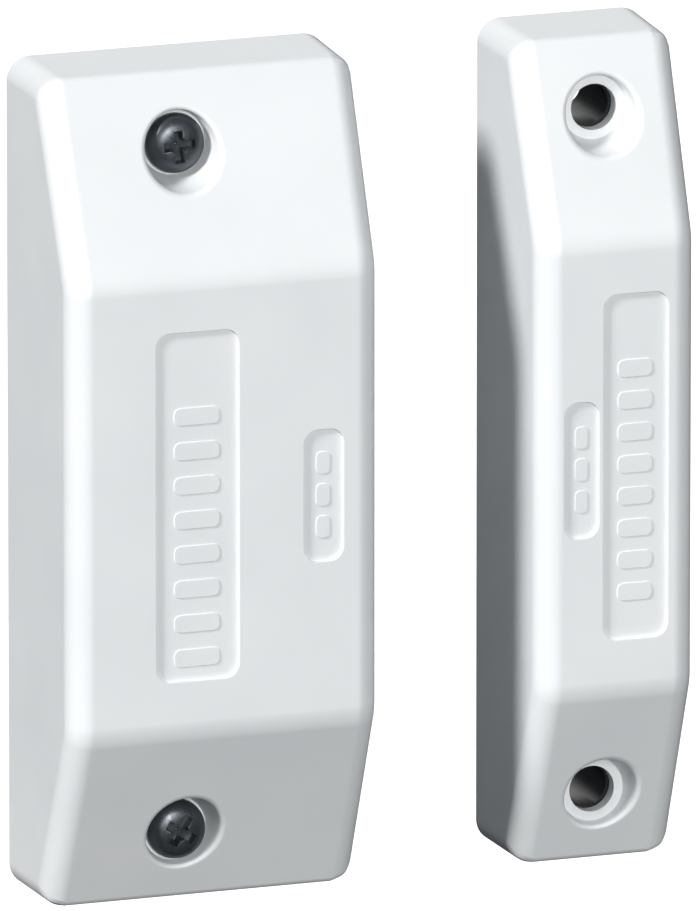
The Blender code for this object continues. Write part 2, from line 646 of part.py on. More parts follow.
def make_retainer():
    # strap over the middle of the magnet, with a leg down each side
    inside = BAR_X + 0.2 * mm
    outside = BAR_X + 0.8 * mm
    bridge_low, bridge_high = BAR_TOP + 0.15 * mm, BAR_TOP + 0.75 * mm
    foot = BASE_THICKNESS + 0.1 * mm
    outline = [(-outside, foot), (-inside, foot), (-inside, bridge_low), (inside, bridge_low)]
    outline += [(inside, foot), (outside, foot), (outside, bridge_high), (-outside, bridge_high)]
    # drawn flat as (x, h), then stood up so that h runs out of the wall
    stand = Matrix(((1, 0, 0, 0), (0, -1, 0, 0), (0, 0, -1, 0), (0, 0, 0, 1)))
    strap = prism("magnet_retainer", outline, 2.5 * mm, Matrix.Translation((MAGNET_X, 0, 0)) @ stand, parts)
    finish(strap, BRIGHT_STEEL, 0.3, 1.0, smooth=False)


make_switch_cover()
make_cover_screw("cover_screw_upper", WELL_Z, 31)
make_cover_screw("cover_screw_lower", -WELL_Z, 58)
make_switch_base()
make_board()
make_terminal_block()
for terminal_way in range(WAYS):
    make_terminal(terminal_way)
make_reed()
make_tamper_switch()
make_magnet_cover()
make_magnet_base()
make_bar_magnet()
make_retainer()
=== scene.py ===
import math

import bmesh
import bpy
from mathutils import Matrix, Vector


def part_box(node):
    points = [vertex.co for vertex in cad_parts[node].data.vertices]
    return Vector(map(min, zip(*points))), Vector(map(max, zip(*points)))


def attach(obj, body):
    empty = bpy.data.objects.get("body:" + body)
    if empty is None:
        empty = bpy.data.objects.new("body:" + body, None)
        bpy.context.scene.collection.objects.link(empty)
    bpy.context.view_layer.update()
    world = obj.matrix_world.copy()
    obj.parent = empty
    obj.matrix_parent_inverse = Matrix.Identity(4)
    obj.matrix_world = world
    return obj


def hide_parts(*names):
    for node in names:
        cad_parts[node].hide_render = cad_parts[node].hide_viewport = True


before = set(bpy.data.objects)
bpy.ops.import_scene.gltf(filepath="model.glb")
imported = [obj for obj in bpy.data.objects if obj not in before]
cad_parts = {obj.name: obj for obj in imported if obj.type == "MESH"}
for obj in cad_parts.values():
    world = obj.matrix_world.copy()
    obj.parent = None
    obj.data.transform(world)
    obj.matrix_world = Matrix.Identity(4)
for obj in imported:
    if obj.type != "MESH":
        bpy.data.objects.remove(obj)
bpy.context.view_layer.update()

mm = 0.001

# The wall is y = 0 and the fronts face -Y. A "height" is the distance out from the wall.


# working helpers

def clearSelection():
    if bpy.context.mode != "OBJECT":
        bpy.ops.object.mode_set(mode="OBJECT")
    bpy.ops.object.select_all(action="DESELECT")


def pick(obj):
    clearSelection()
    obj.select_set(True)
    bpy.context.view_layer.objects.active = obj
    return obj


def settle(obj):
    # place goes into the mesh, so the object itself stays at the origin
    pick(obj)
    bpy.ops.object.transform_apply(location=True, rotation=True, scale=True)
    return obj


def applied(obj, kind, **settings):
    pick(obj)
    modifier = obj.modifiers.new(kind.title(), kind)
    for key, value in settings.items():
        setattr(modifier, key, value)
    bpy.ops.object.modifier_apply(modifier=modifier.name)
    return obj


def cutAway(target, tool, operation="DIFFERENCE"):
    applied(target, "BOOLEAN", object=tool, operation=operation, solver="EXACT")
    bpy.data.objects.remove(tool, do_unlink=True)
    return target


def slab(name, xs, hs, zs):
    # a box between two x, two heights and two z
    clearSelection()
    bpy.ops.mesh.primitive_cube_add(size=1, location=(sum(xs) / 2, -sum(hs) / 2, sum(zs) / 2),
                                    scale=(xs[1] - xs[0], hs[1] - hs[0], zs[1] - zs[0]))
    bpy.context.object.name = name
    return settle(bpy.context.object)


def post(name, radius, x, z, hs, sides=64, topRadius=None):
    # a round bar that stands out from the wall, straight or flared
    clearSelection()
    bpy.ops.mesh.primitive_cone_add(vertices=sides, radius1=radius, radius2=topRadius or radius,
                                    depth=hs[1] - hs[0], location=(x, -sum(hs) / 2, z),
                                    rotation=(math.pi / 2, 0, 0))
    bpy.context.object.name = name
    return settle(bpy.context.object)


def fixNormals(obj):
    pick(obj)
    bpy.ops.object.mode_set(mode="EDIT")
    bpy.ops.mesh.select_all(action="SELECT")
    bpy.ops.mesh.remove_doubles(threshold=0.001 * mm)
    bpy.ops.mesh.normals_make_consistent(inside=False)
    bpy.ops.object.mode_set(mode="OBJECT")
    return obj


def turned(name, profile, sides=64):
    # (radius, height) points turned about the axis that stands out from the wall at x = z = 0
    mesh = bpy.data.meshes.new(name)
    closed = profile[0][0] > 0
    count = len(profile)
    mesh.from_pydata([(r, -h, 0) for r, h in profile],
                     [(i, (i + 1) % count) for i in range(count if closed else count - 1)], [])
    obj = bpy.data.objects.new(name, mesh)
    bpy.context.scene.collection.objects.link(obj)
    applied(obj, "SCREW", axis="Y", angle=2 * math.pi, steps=sides, render_steps=sides,
            use_merge_vertices=True, merge_threshold=0.001 * mm)
    return fixNormals(obj)


def coil(name, section, turns, pitch, steps):
    # a (radius, height) section wound round the axis, its two ends closed
    mesh = bpy.data.meshes.new(name)
    count = len(section)
    mesh.from_pydata([(r, -h, 0) for r, h in section], [(i, (i + 1) % count) for i in range(count)], [])
    obj = bpy.data.objects.new(name, mesh)
    bpy.context.scene.collection.objects.link(obj)
    applied(obj, "SCREW", axis="Y", angle=2 * math.pi, steps=steps, render_steps=steps,
            screw_offset=-pitch, iterations=turns)
    pick(obj)
    bpy.ops.object.mode_set(mode="EDIT")
    bpy.ops.mesh.select_all(action="SELECT")
    bpy.ops.mesh.fill_holes(sides=0)
    bpy.ops.object.mode_set(mode="OBJECT")
    return fixNormals(obj)


def wire(name, route, radius, sides=6):
    # a round wire along a list of points
    curve = bpy.data.curves.new(name, "CURVE")
    curve.dimensions = "3D"
    curve.bevel_depth = radius
    curve.bevel_resolution = sides
    curve.use_fill_caps = True
    spline = curve.splines.new("POLY")
    spline.points.add(len(route) - 1)
    for point, place in zip(spline.points, route):
        point.co = (*place, 1)
    obj = bpy.data.objects.new(name, curve)
    bpy.context.scene.collection.objects.link(obj)
    pick(obj)
    bpy.ops.object.convert(target="MESH")
    return fixNormals(bpy.context.object)


def joined(objs):
    clearSelection()
    for obj in objs:
        obj.select_set(True)
    bpy.context.view_layer.objects.active = objs[0]
    bpy.ops.object.join()
    return objs[0]


def copied(obj, name, shift=(0, 0, 0), turn=0, about=(0, 0, 0)):
    # a copy with its own mesh, turned about the axis out of the wall and moved
    new = obj.copy()
    new.data = obj.data.copy()
    new.name = name
    for owner in obj.users_collection:
        owner.objects.link(new)
    matrix = Matrix.Translation(about) @ Matrix.Rotation(turn, 4, "Y") @ Matrix.Translation(-Vector(about))
    new.data.transform(Matrix.Translation(shift) @ matrix)
    return new


def fillet(corner, radius, start, end, steps=6):
    # points on an arc round a centre, for profiles
    points = []
    for i in range(steps + 1):
        angle = math.radians(start + (end - start) * i / steps)
        points.append((corner[0] + radius * math.cos(angle), corner[1] + radius * math.sin(angle)))
    return points


def selectEdges(obj, wanted):
    # leaves the object in edit mode with the edges that pass the test selected
    pick(obj)
    bpy.ops.object.mode_set(mode="EDIT")
    bpy.ops.mesh.select_mode(type="EDGE")
    bpy.ops.mesh.select_all(action="DESELECT")
    mesh = bmesh.from_edit_mesh(obj.data)
    for edge in mesh.edges:
        edge.select_set(bool(wanted(edge)))
    mesh.select_flush_mode()
    bmesh.update_edit_mesh(obj.data)


def bevelEdges(obj, wanted, offset, segments):
    selectEdges(obj, wanted)
    bpy.ops.mesh.bevel(offset=offset, segments=segments, profile=0.5, affect="EDGES", clamp_overlap=True)
    bpy.ops.object.mode_set(mode="OBJECT")
    return obj


def bisectOff(obj, point, normal):
    # cuts off what lies beyond a plane and closes the cut
    pick(obj)
    bpy.ops.object.mode_set(mode="EDIT")
    bpy.ops.mesh.select_all(action="SELECT")
    bpy.ops.mesh.bisect(plane_co=point, plane_no=normal, use_fill=True, clear_outer=True)
    bpy.ops.object.mode_set(mode="OBJECT")
    return obj


def smoothed(obj, angle=32):
    # flat faces keep their own normals and roundings shade smoothly
    pick(obj)
    bpy.ops.object.shade_smooth_by_angle(angle=math.radians(angle))
    applied(obj, "WEIGHTED_NORMAL", mode="FACE_AREA", weight=100, keep_sharp=True)
    return obj


def finished(obj, name, body, slotName, material, *replaced):
    obj.name = name
    obj.data.name = name
    obj.data.materials.clear()
    obj.data.materials.append(material)
    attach(obj, body)
    if replaced:
        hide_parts(*replaced)
    return obj


def standsOut(edge):
    # runs out from the wall
    return abs(edge.verts[0].co.y - edge.verts[1].co.y) > 0.1 * mm


def runsUp(edge):
    # runs along the housings' length
    return abs(edge.verts[0].co.z - edge.verts[1].co.z) > 1 * mm


def everyEdge(edge):
    return True


def boxMiddle(nodeName):
    low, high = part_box(nodeName)
    return (low.x + high.x) / 2, (low.z + high.z) / 2


def boxSlab(nodeName):
    # a block that fills a node's box
    low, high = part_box(nodeName)
    return slab(nodeName, (low.x, high.x), (-high.y, -low.y), (low.z, high.z))


def pieceName(nodeName):
    return nodeName.replace("_", " ").title().replace(" ", "")


# materials

def linear(hexColour):
    # sRGB hex to the linear values that the shader wants
    parts = [int(hexColour[i:i + 2], 16) / 255 for i in (1, 3, 5)]
    return [c / 12.92 if c <= 0.04045 else ((c + 0.055) / 1.055) ** 2.4 for c in parts] + [1.0]


def addNode(tree, kind, settings=None, links=None):
    node = tree.nodes.new(kind)
    for key, value in (settings or {}).items():
        if key in node.inputs:
            node.inputs[key].default_value = value
        else:
            setattr(node, key, value)
    for socket, source in (links or {}).items():
        tree.links.new(source, node.inputs[socket])
    return node


def newMaterial(name, shaderSettings):
    material = bpy.data.materials.new(name)
    material.use_nodes = True
    tree = material.node_tree
    tree.nodes.clear()
    shader = addNode(tree, "ShaderNodeBsdfPrincipled", shaderSettings)
    addNode(tree, "ShaderNodeOutputMaterial", links={"Surface": shader.outputs["BSDF"]})
    place = addNode(tree, "ShaderNodeTexCoord").outputs["Object"]
    return material, tree, shader, place


def perSize(size):
    # pattern scale for a feature of this size
    return 1.0 / size


patternRange = (0.3, 0.7)          # the part of a pattern's 0 to 1 that is used


def dressed(tree, shader, colouredBy, colours, glossBy, roughness, raisedBy, strength, depth):
    # patterns that run from 0 to 1 spread two colours, a range of roughness and a relief over the surface
    ramp = addNode(tree, "ShaderNodeValToRGB", links={"Fac": colouredBy})
    for element, position, colour in zip(ramp.color_ramp.elements, patternRange, colours):
        element.position = position
        element.color = linear(colour)
    tree.links.new(ramp.outputs["Color"], shader.inputs["Base Color"])
    if glossBy:
        gloss = addNode(tree, "ShaderNodeMapRange", {"From Min": patternRange[0], "From Max": patternRange[1],
                                                     "To Min": roughness[0], "To Max": roughness[1]},
                        {"Value": glossBy})
        tree.links.new(gloss.outputs["Result"], shader.inputs["Roughness"])
    relief = addNode(tree, "ShaderNodeBump", {"Strength": strength, "Distance": depth}, {"Height": raisedBy})
    tree.links.new(relief.outputs["Normal"], shader.inputs["Normal"])


def mouldedPlastic(name, light, dark, roughness, grain, depth, ior=1.53):
    # injection-moulded from a spark-eroded tool: a fine, soft grain with a faint unevenness of gloss
    material, tree, shader, place = newMaterial(name, {"IOR": ior})
    cloud = addNode(tree, "ShaderNodeTexNoise", {"Scale": perSize(9 * mm), "Detail": 3.0}, {"Vector": place})
    speck = addNode(tree, "ShaderNodeTexNoise", {"Scale": perSize(grain), "Detail": 2.0, "Roughness": 0.6},
                    {"Vector": place})
    dressed(tree, shader, cloud.outputs["Fac"], (dark, light), cloud.outputs["Fac"],
            (roughness - 0.03, roughness + 0.04), speck.outputs["Fac"], 0.5, depth)
    return material


# name, light and dark tone, roughness, size of the grain and its depth
whiteAbs = mouldedPlastic("whiteAbs", "#F0F2F3", "#ECEFF0", 0.40, 0.28 * mm, 0.004 * mm)
# painted shade: the base plates are made black so that the screw bores, seen through the covers, read as deep shade
blackAbs = mouldedPlastic("blackAbs", "#1E1F21", "#17181A", 0.42, 0.30 * mm, 0.008 * mm)
bluePolyamide = mouldedPlastic("bluePolyamide", "#2C5F86", "#25557A", 0.38, 0.35 * mm, 0.006 * mm)
blackPolyamide = mouldedPlastic("blackPolyamide", "#26272A", "#1E1F22", 0.45, 0.30 * mm, 0.008 * mm)
creamAcetal = mouldedPlastic("creamAcetal", "#E6E0CE", "#DDD6C2", 0.34, 0.40 * mm, 0.004 * mm, 1.48)


def platedMetal(name, light, dark, roughness, grain, depth, metallic=1.0):
    # stamped or turned and then plated: fine drawn marks under the plating, slightly uneven gloss
    material, tree, shader, place = newMaterial(name, {"Metallic": metallic})
    stretch = addNode(tree, "ShaderNodeMapping", {"Scale": (1, 1, 0.15)}, {"Vector": place})
    marks = addNode(tree, "ShaderNodeTexNoise", {"Scale": perSize(grain), "Detail": 4.0},
                    {"Vector": stretch.outputs["Vector"]})
    cloud = addNode(tree, "ShaderNodeTexNoise", {"Scale": perSize(1.5 * mm), "Detail": 3.0}, {"Vector": place})
    dressed(tree, shader, cloud.outputs["Fac"], (dark, light), marks.outputs["Fac"],
            (roughness - 0.06, roughness + 0.10), marks.outputs["Fac"], 0.4, depth)
    return material


blackedSteel = platedMetal("blackedSteel", "#5F6368", "#4F5357", 0.34, 0.20 * mm, 0.003 * mm, 0.7)
zincPlatedSteel = platedMetal("zincPlatedSteel", "#C9CACB", "#B7B8BA", 0.30, 0.22 * mm, 0.003 * mm)
tinnedWire = platedMetal("tinnedWire", "#D2D0CB", "#C2C0BA", 0.24, 0.15 * mm, 0.002 * mm)
stampedBrass = platedMetal("stampedBrass", "#D2B36A", "#BD9C55", 0.28, 0.22 * mm, 0.003 * mm)


def sinteredFerrite():
    # pressed and fired iron oxide, ground on its faces: dark, dull, with tiny pores
    material, tree, shader, place = newMaterial("sinteredFerrite", {"Metallic": 0.35})
    pores = addNode(tree, "ShaderNodeTexVoronoi", {"Scale": perSize(0.45 * mm)},
                    {"Vector": place}).outputs["Distance"]
    dressed(tree, shader, pores, ("#2A2B2D", "#3A3B3D"), pores, (0.62, 0.5), pores, 0.5, 0.01 * mm)
    return material


def boardLaminate():
    # woven glass and epoxy under green solder resist: the weave just shows through the gloss
    material, tree, shader, place = newMaterial("boardLaminate", {"Coat Weight": 0.4, "Coat Roughness": 0.15})
    threads = []
    for turn in (0, math.pi / 2):
        laid = addNode(tree, "ShaderNodeMapping", {"Rotation": (0, turn, 0)}, {"Vector": place})
        # a wave's scale counts radians, so one full turn of it is one thread
        wave = addNode(tree, "ShaderNodeTexWave", {"Scale": perSize(0.45 * mm) / 6.28, "Distortion": 0.4},
                       {"Vector": laid.outputs["Vector"]})
        threads.append(wave.outputs["Fac"])
    weave = addNode(tree, "ShaderNodeMath", {"operation": "MULTIPLY"}, dict(enumerate(threads))).outputs["Value"]
    dressed(tree, shader, weave, ("#0F5A36", "#14653F"), weave, (0.36, 0.42), weave, 0.3, 0.005 * mm)
    return material


def drawnGlass():
    # drawn tube, flame-sealed: clear with a faint green cast and a slight draw ripple
    material, tree, shader, place = newMaterial("drawnGlass", {"Transmission Weight": 1.0, "IOR": 1.5,
                                                               "Roughness": 0.03})
    ripple = addNode(tree, "ShaderNodeTexNoise", {"Scale": perSize(3 * mm), "Detail": 1.0},
                     {"Vector": place}).outputs["Fac"]
    dressed(tree, shader, ripple, ("#EEF8F2", "#F5FBF7"), None, None, ripple, 0.15, 0.01 * mm)
    return material


ferrite = sinteredFerrite()
greenBoard = boardLaminate()
reedGlass = drawnGlass()
print("materials made")


# housings

housing = {
    "endHeight": 8.0 * mm,
    "ramp": 16.0 * mm,
    "wall": 1.6 * mm,
    "edgeRadius": 2.0 * mm,
    "endEdgeShare": 0.28,          # of the edge radius, on the short front edges
    "creaseRadius": 4.5 * mm,
    "sideDraft": math.radians(1.5),
    "endDraft": math.radians(0.8),
    "insideEdge": 0.7 * mm,
    "insideEndShare": 0.4,
    "wellRadius": 2.7 * mm,        # at the floor
    "wellFlare": 0.2,              # growth of the radius per unit of height
    "wellFloor": 8.2 * mm,
    "wellUnderside": 7.0 * mm,
    "wellSkirt": 4.2 * mm,
    "web": 1.4 * mm,               # rib from each well to the end wall
    "webStart": 3.6 * mm,          # from the well's axis
    "screwHole": 1.95 * mm,
    "mouthEdge": 0.38 * mm,
    "panelDepth": 0.3 * mm,
    "panelCorner": 1.2 * mm,
    "panelEdge": 0.08 * mm,
    "barEdge": 0.07 * mm,
}


def housingBlock(name, centreX, width, height, length, inset, back, edgeWidth, endShare, segments):
    # drafted block with a ramp at each end; inset makes the same form one wall thickness smaller
    half = width / 2 - inset
    end = length / 2 - inset
    block = slab(name, (centreX - half, centreX + half), (back, height - inset), (-end, end))
    lean = math.tan(housing["sideDraft"])
    for side in (-1, 1):
        bisectOff(block, (centreX + side * half, 0, 0), Vector((side, -lean, 0)).normalized())
    lean = math.tan(housing["endDraft"])
    tilt = math.atan((height - housing["endHeight"]) / housing["ramp"])
    for side in (-1, 1):
        bisectOff(block, (0, 0, side * end), Vector((0, -lean, side)).normalized())
        out = Vector((0, -math.cos(tilt), side * math.sin(tilt)))
        bisectOff(block, Vector((0, -housing["endHeight"], side * length / 2)) - inset * out, out)

    def isCrease(edge):
        ys = [face.normal.y for face in edge.link_faces]
        return max(ys) < -0.8

    bevelEdges(block, isCrease, (housing["creaseRadius"] - inset) * math.tan(tilt / 2), 8)
    shape = bmesh.new()
    shape.from_mesh(block.data)
    weight = shape.edges.layers.float.new("bevel_weight_edge")
    for edge in shape.edges:
        normals = [face.normal for face in edge.link_faces]
        if max(normal.y for normal in normals) > 0.9:
            continue                         # the rim at the wall stays square
        if max(abs(normal.x) for normal in normals) > 0.9:
            edge[weight] = 1.0
        elif max(abs(normal.z) for normal in normals) > 0.9:
            edge[weight] = endShare
    shape.to_mesh(block.data)
    shape.free()
    return applied(block, "BEVEL", width=edgeWidth, segments=segments, limit_method="WEIGHT")


def roundedTool(name, xs, hs, zs, corner, segments=8):
    tool = slab(name, xs, hs, zs)
    return bevelEdges(tool, standsOut, corner, segments)


def makeCover(unit):
    low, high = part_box(unit["node"])
    centreX = (low.x + high.x) / 2
    width = high.x - low.x
    height = -low.y
    length = high.z - low.z
    cover = housingBlock(unit["name"], centreX, width, height, length, 0, 0,
                         housing["edgeRadius"], housing["endEdgeShare"], 12)
    inside = housingBlock("inside", centreX, width, height, length, housing["wall"], -1 * mm,
                          housing["insideEdge"], housing["insideEndShare"], 3)
    x = centreX + unit["wellOffset"]
    for side in (-1, 1):
        z = side * wellZ
        cutAway(inside, post("skirt", housing["wellSkirt"], x, z, (housing["wellUnderside"], height)))
        reach = sorted((z + side * housing["webStart"], side * (length / 2 + 1 * mm)))
        web = (x - housing["web"] / 2, x + housing["web"] / 2)
        cutAway(inside, slab("web", web, (housing["wellUnderside"], height), reach))
    cutAway(cover, inside)
    for side in (-1, 1):
        z = side * wellZ
        depth = height + 2 * mm - housing["wellFloor"]
        cutAway(cover, post("well", housing["wellRadius"], x, z, (housing["wellFloor"], height + 2 * mm), 96,
                            housing["wellRadius"] + housing["wellFlare"] * depth))
        cutAway(cover, post("hole", housing["screwHole"], x, z, (2 * mm, housing["wellFloor"] + 1 * mm)))

    def isMouth(edge):
        for side in (-1, 1):
            flared = [housing["wellRadius"] + housing["wellFlare"] * (-v.co.y - housing["wellFloor"])
                      for v in edge.verts]
            onRing = all(abs(math.hypot(v.co.x - x, v.co.z - side * wellZ) - radius) < 0.02 * mm
                         for v, radius in zip(edge.verts, flared))
            if onRing and min(v.co.y for v in edge.verts) < -housing["wellFloor"] - 0.5 * mm:
                ys = sorted(face.normal.y for face in edge.link_faces)
                return ys[0] < -0.8 and ys[-1] > -0.5
        return False

    bevelEdges(cover, isMouth, housing["mouthEdge"], 5)
    for panel in unit["panels"]:
        xs = [low.x + v for v in panel["width"]]
        zs = (-panel["length"] / 2, panel["length"] / 2)
        cutAway(cover, roundedTool("panel", xs, (height - housing["panelDepth"], height + 1 * mm), zs,
                                   housing["panelCorner"]))

    def isPanelEdge(edge):
        ys = sorted(face.normal.y for face in edge.link_faces)
        onFront = all(abs(v.co.y + height) < 0.005 * mm for v in edge.verts)
        return onFront and ys[0] < -0.99 and abs(ys[-1]) < 0.05

    bevelEdges(cover, isPanelEdge, housing["panelEdge"], 2)
    for panel in unit["panels"]:
        addBars(cover, low.x, height, panel)
    return cover, centreX, height


def addBars(cover, left, height, panel):
    # plain raised bars on the panel's floor
    floor = height - housing["panelDepth"]
    across = [left + v for v in panel["barWidth"]]
    start = -(panel["bars"] - 1) / 2 * panel["pitch"] + panel["shift"]
    for number in range(panel["bars"]):
        z = start + number * panel["pitch"]
        half = panel["barLength"] / 2
        bar = roundedTool("bar", across, (floor - 0.3 * mm, floor + panel["rise"]), (z - half, z + half),
                          min(half, (across[1] - across[0]) / 2) * 0.7, 5)
        bevelEdges(bar, lambda edge: max(face.normal.y for face in edge.link_faces) < 0.3
                   and min(face.normal.y for face in edge.link_faces) < -0.9, housing["barEdge"], 2)
        cutAway(cover, bar, "UNION")


wellX, wellZ = boxMiddle("cover_screw_upper")

switchUnit = {
    "node": "switch_cover",
    "name": "switchCover",
    "wellOffset": wellX,
    # label panels, across from the unit's left edge and along about the middle
    "panels": [
        {"width": (7.7 * mm, 14.8 * mm), "length": 29.3 * mm, "barWidth": (9.3 * mm, 13.2 * mm),
         "bars": 8, "barLength": 1.5 * mm, "pitch": 2.9 * mm, "shift": -2.6 * mm, "rise": 0.09 * mm},
        {"width": (20.4 * mm, 23.8 * mm), "length": 11.1 * mm, "barWidth": (21.5 * mm, 22.7 * mm),
         "bars": 3, "barLength": 1.9 * mm, "pitch": 2.7 * mm, "shift": 0.0, "rise": 0.09 * mm},
    ],
}
magnetUnit = {
    "node": "magnet_cover",
    "name": "magnetCover",
    "wellOffset": 0.0,
    "panels": [
        {"width": (5.9 * mm, 11.5 * mm), "length": 29.2 * mm, "barWidth": (7.2 * mm, 10.2 * mm),
         "bars": 8, "barLength": 1.5 * mm, "pitch": 2.7 * mm, "shift": -1.2 * mm, "rise": 0.09 * mm},
        {"width": (2.5 * mm, 5.5 * mm), "length": 11.5 * mm, "barWidth": (3.5 * mm, 4.6 * mm),
         "bars": 3, "barLength": 1.9 * mm, "pitch": 2.7 * mm, "shift": 0.0, "rise": 0.09 * mm},
    ],
}

switchCover, switchX, switchHeight = makeCover(switchUnit)
plungerX, plungerZ = boxMiddle("tamper_plunger")
plungerTip = -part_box("tamper_plunger")[0].y
# inside, a short post that presses the plunger when the cover is on
tamperPost = {"radius": 1.6 * mm, "gap": 0.1 * mm, "sink": 0.8 * mm}
pressPost = post("tamperPost", tamperPost["radius"], plungerX, plungerZ,
                 (plungerTip + tamperPost["gap"], switchHeight - tamperPost["sink"]), 40)
cutAway(switchCover, pressPost, "UNION")
smoothed(switchCover)
finished(switchCover, "switchCoverShell", "switch_cover", "white_abs", whiteAbs, "switch_cover")
magnetCover, magnetX, magnetHeight = makeCover(magnetUnit)
smoothed(magnetCover)
finished(magnetCover, "magnetCoverShell", "magnet_unit", "white_abs", whiteAbs, "magnet_cover")
print("housings made")


# cover screws

coverScrew = {
    "seat": 8.25 * mm,
    "headRadius": 2.5 * mm,
    "headHeight": 1.7 * mm,
    "threadRadius": 1.3 * mm,
    "coreRadius": 0.95 * mm,
    "pitch": 0.85 * mm,
    "threadTurns": 5,
    "tip": 2.8 * mm,
    "armReach": 1.45 * mm,
    "armWidth": 0.8 * mm,
    "driveDepth": 1.15 * mm,
    "turns": {"cover_screw_upper": 4, "cover_screw_lower": 58},
}


def crossTool(top, depth, reach, width, taper):
    # cross-shaped driver point: two crossed arms that narrow downwards, with a pointed middle
    arms = []
    for turn in (0, math.pi / 2):
        arm = slab("arm", (-reach, reach), (top - depth, top + 0.5 * mm), (-width / 2, width / 2))
        pick(arm)
        bpy.ops.object.mode_set(mode="EDIT")
        bpy.ops.mesh.select_all(action="DESELECT")
        mesh = bmesh.from_edit_mesh(arm.data)
        for face in mesh.faces:
            face.select_set(face.normal.y > 0.9)
        bmesh.update_edit_mesh(arm.data)
        bpy.ops.transform.resize(value=(taper, 1, 0.8), center_override=(0, 0, 0))
        bpy.ops.object.mode_set(mode="OBJECT")
        arm.data.transform(Matrix.Rotation(turn, 4, "Y"))
        arms.append(arm)
    cross = cutAway(arms[0], arms[1], "UNION")
    point = turned("point", [(0, top + 0.5 * mm), (width * 0.95, top + 0.5 * mm),
                             (width * 0.85, top - depth * 0.4), (0, top - depth - 0.25 * mm)], 24)
    return cutAway(cross, point, "UNION")


def makeCoverScrew():
    c = coverScrew
    seat, top, head = c["seat"], c["seat"] + c["headHeight"], c["headRadius"]
    dome = [(0, top), (0.7 * mm, top - 0.015 * mm), (1.3 * mm, top - 0.07 * mm), (1.7 * mm, top - 0.17 * mm),
            (2.0 * mm, top - 0.32 * mm), (2.25 * mm, top - 0.55 * mm), (2.4 * mm, top - 0.82 * mm),
            (2.48 * mm, top - 1.1 * mm), (head, top - 1.3 * mm)]
    rim = [(head, seat + 0.12 * mm), (head - 0.04 * mm, seat + 0.04 * mm), (head - 0.12 * mm, seat)]
    core, tip = c["coreRadius"], c["tip"]
    shank = [(core + 0.15 * mm, seat), (core, seat - 0.15 * mm), (core, tip + 0.7 * mm),
             (0.7 * mm, tip + 0.2 * mm), (0.45 * mm, tip + 0.02 * mm), (0, tip)]
    body = turned("screwBody", dome + rim + shank, 72)
    cutAway(body, crossTool(top, c["driveDepth"], c["armReach"], c["armWidth"], 0.6))

    def isDriveEdge(edge):
        ys = sorted(face.normal.y for face in edge.link_faces)
        near = all(v.co.y < -top + 0.25 * mm and math.hypot(v.co.x, v.co.z) < c["armReach"] + 0.1 * mm
                   for v in edge.verts)
        return near and ys[0] < -0.85 and ys[-1] > -0.6

    bevelEdges(body, isDriveEdge, 0.04 * mm, 2)
    first = tip + 0.75 * mm
    inner, outer, half = core - 0.08 * mm, c["threadRadius"], 0.26 * mm
    thread = coil("thread", [(inner, first - half), (outer - 0.03 * mm, first - 0.04 * mm),
                             (outer - 0.03 * mm, first + 0.04 * mm), (inner, first + half)],
                  c["threadTurns"], c["pitch"], 48)
    return joined([body, thread])


plainScrew = smoothed(makeCoverScrew(), 30)
for nodeName, angle in coverScrew["turns"].items():
    x, z = boxMiddle(nodeName)
    screw = copied(plainScrew, nodeName, (x, 0, z), math.radians(-angle))
    finished(screw, pieceName(nodeName), nodeName, "black_steel", blackedSteel, nodeName)
bpy.data.objects.remove(plainScrew, do_unlink=True)
print("cover screws made")


# base plates

plates = {
    "thickness": 2.0 * mm,
    "cornerRadius": 0.9 * mm,
    "bossRadius": 3.0 * mm,
    "bossTop": 6.7 * mm,
    "collar": 0.45 * mm,           # low step round each boss
    "edge": 0.14 * mm,
    "rib": 1.0 * mm,
    "ribTop": 3.2 * mm,
    "ribSpan": (-15 * mm, 24 * mm),
    "postRadius": 1.7 * mm,        # under the board, with a peg that goes through it
    "pegRadius": 0.8 * mm,
    "cableEntry": ((-11.1 * mm, -5.9 * mm), (-27 * mm, -19.4 * mm)),
    "slotWidth": (5.6 * mm, 9.2 * mm),
    "slotMiddles": (26.6 * mm, -23.4 * mm),
    "slotHalf": 2.6 * mm,
}


def makeBase(nodeName, bossX, bore, boreFloor):
    low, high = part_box(nodeName)
    plate = roundedTool(nodeName + "Plate", (low.x, high.x), (0, plates["thickness"]), (low.z, high.z),
                        plates["cornerRadius"], 8)
    for side in (-1, 1):
        z = side * wellZ
        cutAway(plate, post("boss", plates["bossRadius"], bossX, z, (1 * mm, plates["bossTop"])), "UNION")
        # a low collar where the boss grows out of the plate
        cutAway(plate, post("collar", plates["bossRadius"] + plates["collar"], bossX, z,
                            (1 * mm, plates["thickness"] + 0.4 * mm), 64, plates["bossRadius"] - 0.02 * mm), "UNION")
        # painted shade: the black boss round this bore makes the screw hole read as deep shade
        cutAway(plate, post("bore", bore, bossX, z, (boreFloor, plates["bossTop"] + 1 * mm), 48))
    return plate


def softEdges(obj, width, segments=2, angle=38):
    applied(obj, "BEVEL", width=width, segments=segments, limit_method="ANGLE",
            angle_limit=math.radians(angle), use_clamp_overlap=True)
    return smoothed(obj, 30)


